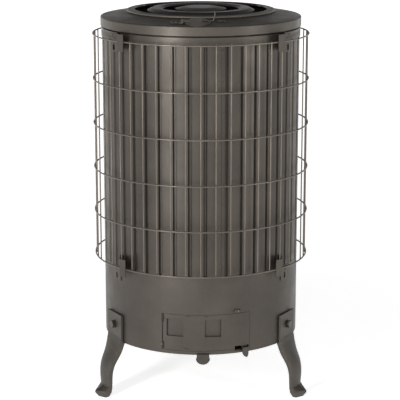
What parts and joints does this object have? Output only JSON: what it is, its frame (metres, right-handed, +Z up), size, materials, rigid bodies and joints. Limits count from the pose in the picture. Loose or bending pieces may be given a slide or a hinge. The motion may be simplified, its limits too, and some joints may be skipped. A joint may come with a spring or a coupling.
{
  "type": "kerosene heater",
  "caption": "Free-standing round kerosene heater: fluted sheet-metal drum on cabriole legs, wire guard, louvred lift-off cap, front service door and drip tray around a round-wick burner.",
  "frame": {"origin": "on the floor, on the drum's axis", "axes": "+Z up along the drum's axis, -Y towards the front with the service door, +X to the right seen from the front"},
  "size_m": [0.3745, 0.4003, 0.678],
  "materials": {
    "drum_enamel": "satin",
    "jacket_enamel": "satin",
    "cap_enamel": "satin",
    "vent_enamel": "satin",
    "port_steel": "satin",
    "guard_wire": "satin",
    "clip_steel": "satin",
    "leg_iron": "satin",
    "fastener_steel": "worn",
    "inner_steel": "matte",
    "shutter_steel": "satin",
    "tank_steel": "satin",
    "burner_brass": "tarnished",
    "knob_brass": "polished",
    "wick_cotton": "woven"
  },
  "bodies": {
    "stove": {"lower_drum": "drum_enamel", "waist_ring": "inner_steel", "corrugated_jacket": "jacket_enamel", "jacket_seam_strap": "inner_steel", "jacket_seam_rivets": "jacket_enamel", "top_hoop": "jacket_enamel", "cap_collar": "inner_steel", "guard_ring_1": "guard_wire", "guard_ring_2": "guard_wire", "guard_ring_3": "guard_wire", "guard_ring_4": "guard_wire", "guard_ring_5": "guard_wire", "guard_ring_6": "guard_wire", "guard_uprights": "guard_wire", "guard_clips": "clip_steel", "guard_clip_rivets": "jacket_enamel", "leg_front_left": "leg_iron", "leg_front_right": "leg_iron", "leg_rear": "leg_iron", "leg_bolts": "fastener_steel", "leg_nuts": "fastener_steel", "leg_washers": "fastener_steel", "base_plate": "inner_steel", "tray_rails": "inner_steel", "door_hinge_leaves_drum": "inner_steel", "door_hinge_pins": "fastener_steel", "turn_button_rivet": "fastener_steel", "fuel_tank": "tank_steel", "filler_neck": "burner_brass", "draught_tube": "burner_brass", "outer_wick_tube": "burner_brass", "burner_gallery": "burner_brass", "raiser_bracket": "inner_steel", "spindle_post": "inner_steel"},
    "cap": {"cap": "cap_enamel", "port_hinge_leaf": "port_steel", "port_hinge_pin": "fastener_steel", "port_screws": "fastener_steel", "port_catch": "port_steel"},
    "port_cover": {"port_cover": "port_steel", "port_cover_eye": "port_steel", "port_handle": "fastener_steel"},
    "vent_cover": {"vent_rim": "vent_enamel", "vent_ridge_ring": "vent_enamel", "vent_dome": "vent_enamel", "vent_ribs": "vent_enamel", "vent_baffle": "inner_steel"},
    "door": {"service_door": "drum_enamel", "door_hinge_leaves_door": "inner_steel", "shutter_guides": "inner_steel"},
    "shutter": {"air_shutter": "shutter_steel"},
    "turn_button": {"turn_button": "drum_enamel"},
    "tray": {"drip_tray": "shutter_steel"},
    "filler_cap": {"filler_cap": "burner_brass"},
    "wick": {"wick": "wick_cotton", "wick_carrier": "burner_brass"},
    "raiser": {"wick_spindle": "burner_brass", "wick_knob": "knob_brass"},
    "spreader": {"flame_spreader": "burner_brass"},
    "chimney": {"chimney": "inner_steel"}
  },
  "joints": [
    {"name": "cap_lift", "type": "slide", "parent": "stove", "child": "cap", "axis": [0, 0, 1], "range_m": [0, 0.12]},
    {"name": "port_cover_hinge", "type": "hinge", "parent": "cap", "child": "port_cover", "pos_m": [-0.03023, -0.1494, 0.66102], "axis": [-0.0344, -0.9848, -0.1702], "range_deg": [0, 105]},
    {"name": "vent_cover_lift", "type": "slide", "parent": "cap", "child": "vent_cover", "axis": [0, 0, 1], "range_m": [0, 0.1]},
    {"name": "service_door_hinge", "type": "hinge", "parent": "stove", "child": "door", "pos_m": [-0.06417, -0.15645, 0.137], "axis": [0, 0, -1], "range_deg": [0, 105]},
    {"name": "air_shutter_slide", "type": "hinge", "parent": "door", "child": "shutter", "pos_m": [0, 0, 0.137], "axis": [0, 0, -1], "range_deg": [0, 4.2]},
    {"name": "turn_button_pivot", "type": "hinge", "parent": "stove", "child": "turn_button", "pos_m": [0.06451, -0.15729, 0.1729], "axis": [0.3795, -0.9252, 0], "range_deg": [0, 90]},
    {"name": "drip_tray_slide", "type": "slide", "parent": "stove", "child": "tray", "axis": [0, -1, 0], "range_m": [0, 0.15]},
    {"name": "filler_cap_lift", "type": "slide", "parent": "stove", "child": "filler_cap", "axis": [0, 0, 1], "range_m": [0, 0.02]},
    {"name": "wick_raiser_turn", "type": "hinge", "parent": "stove", "child": "raiser", "pos_m": [0.03, -0.0435, 0.162], "axis": [1, 0, 0], "range_deg": [0, 150]},
    {"name": "wick_lift", "type": "slide", "parent": "stove", "child": "wick", "axis": [0, 0, 1], "range_m": [0, 0.013]},
    {"name": "flame_spreader_lift", "type": "slide", "parent": "stove", "child": "spreader", "axis": [0, 0, 1], "range_m": [0, 0.04]},
    {"name": "chimney_lift", "type": "slide", "parent": "stove", "child": "chimney", "axis": [0, 0, 1], "range_m": [0, 0.18]}
  ],
  "couplings": [
    {"joint": "wick_raiser_turn", "follows": "wick_lift", "rad_per_m": 200}
  ]
}
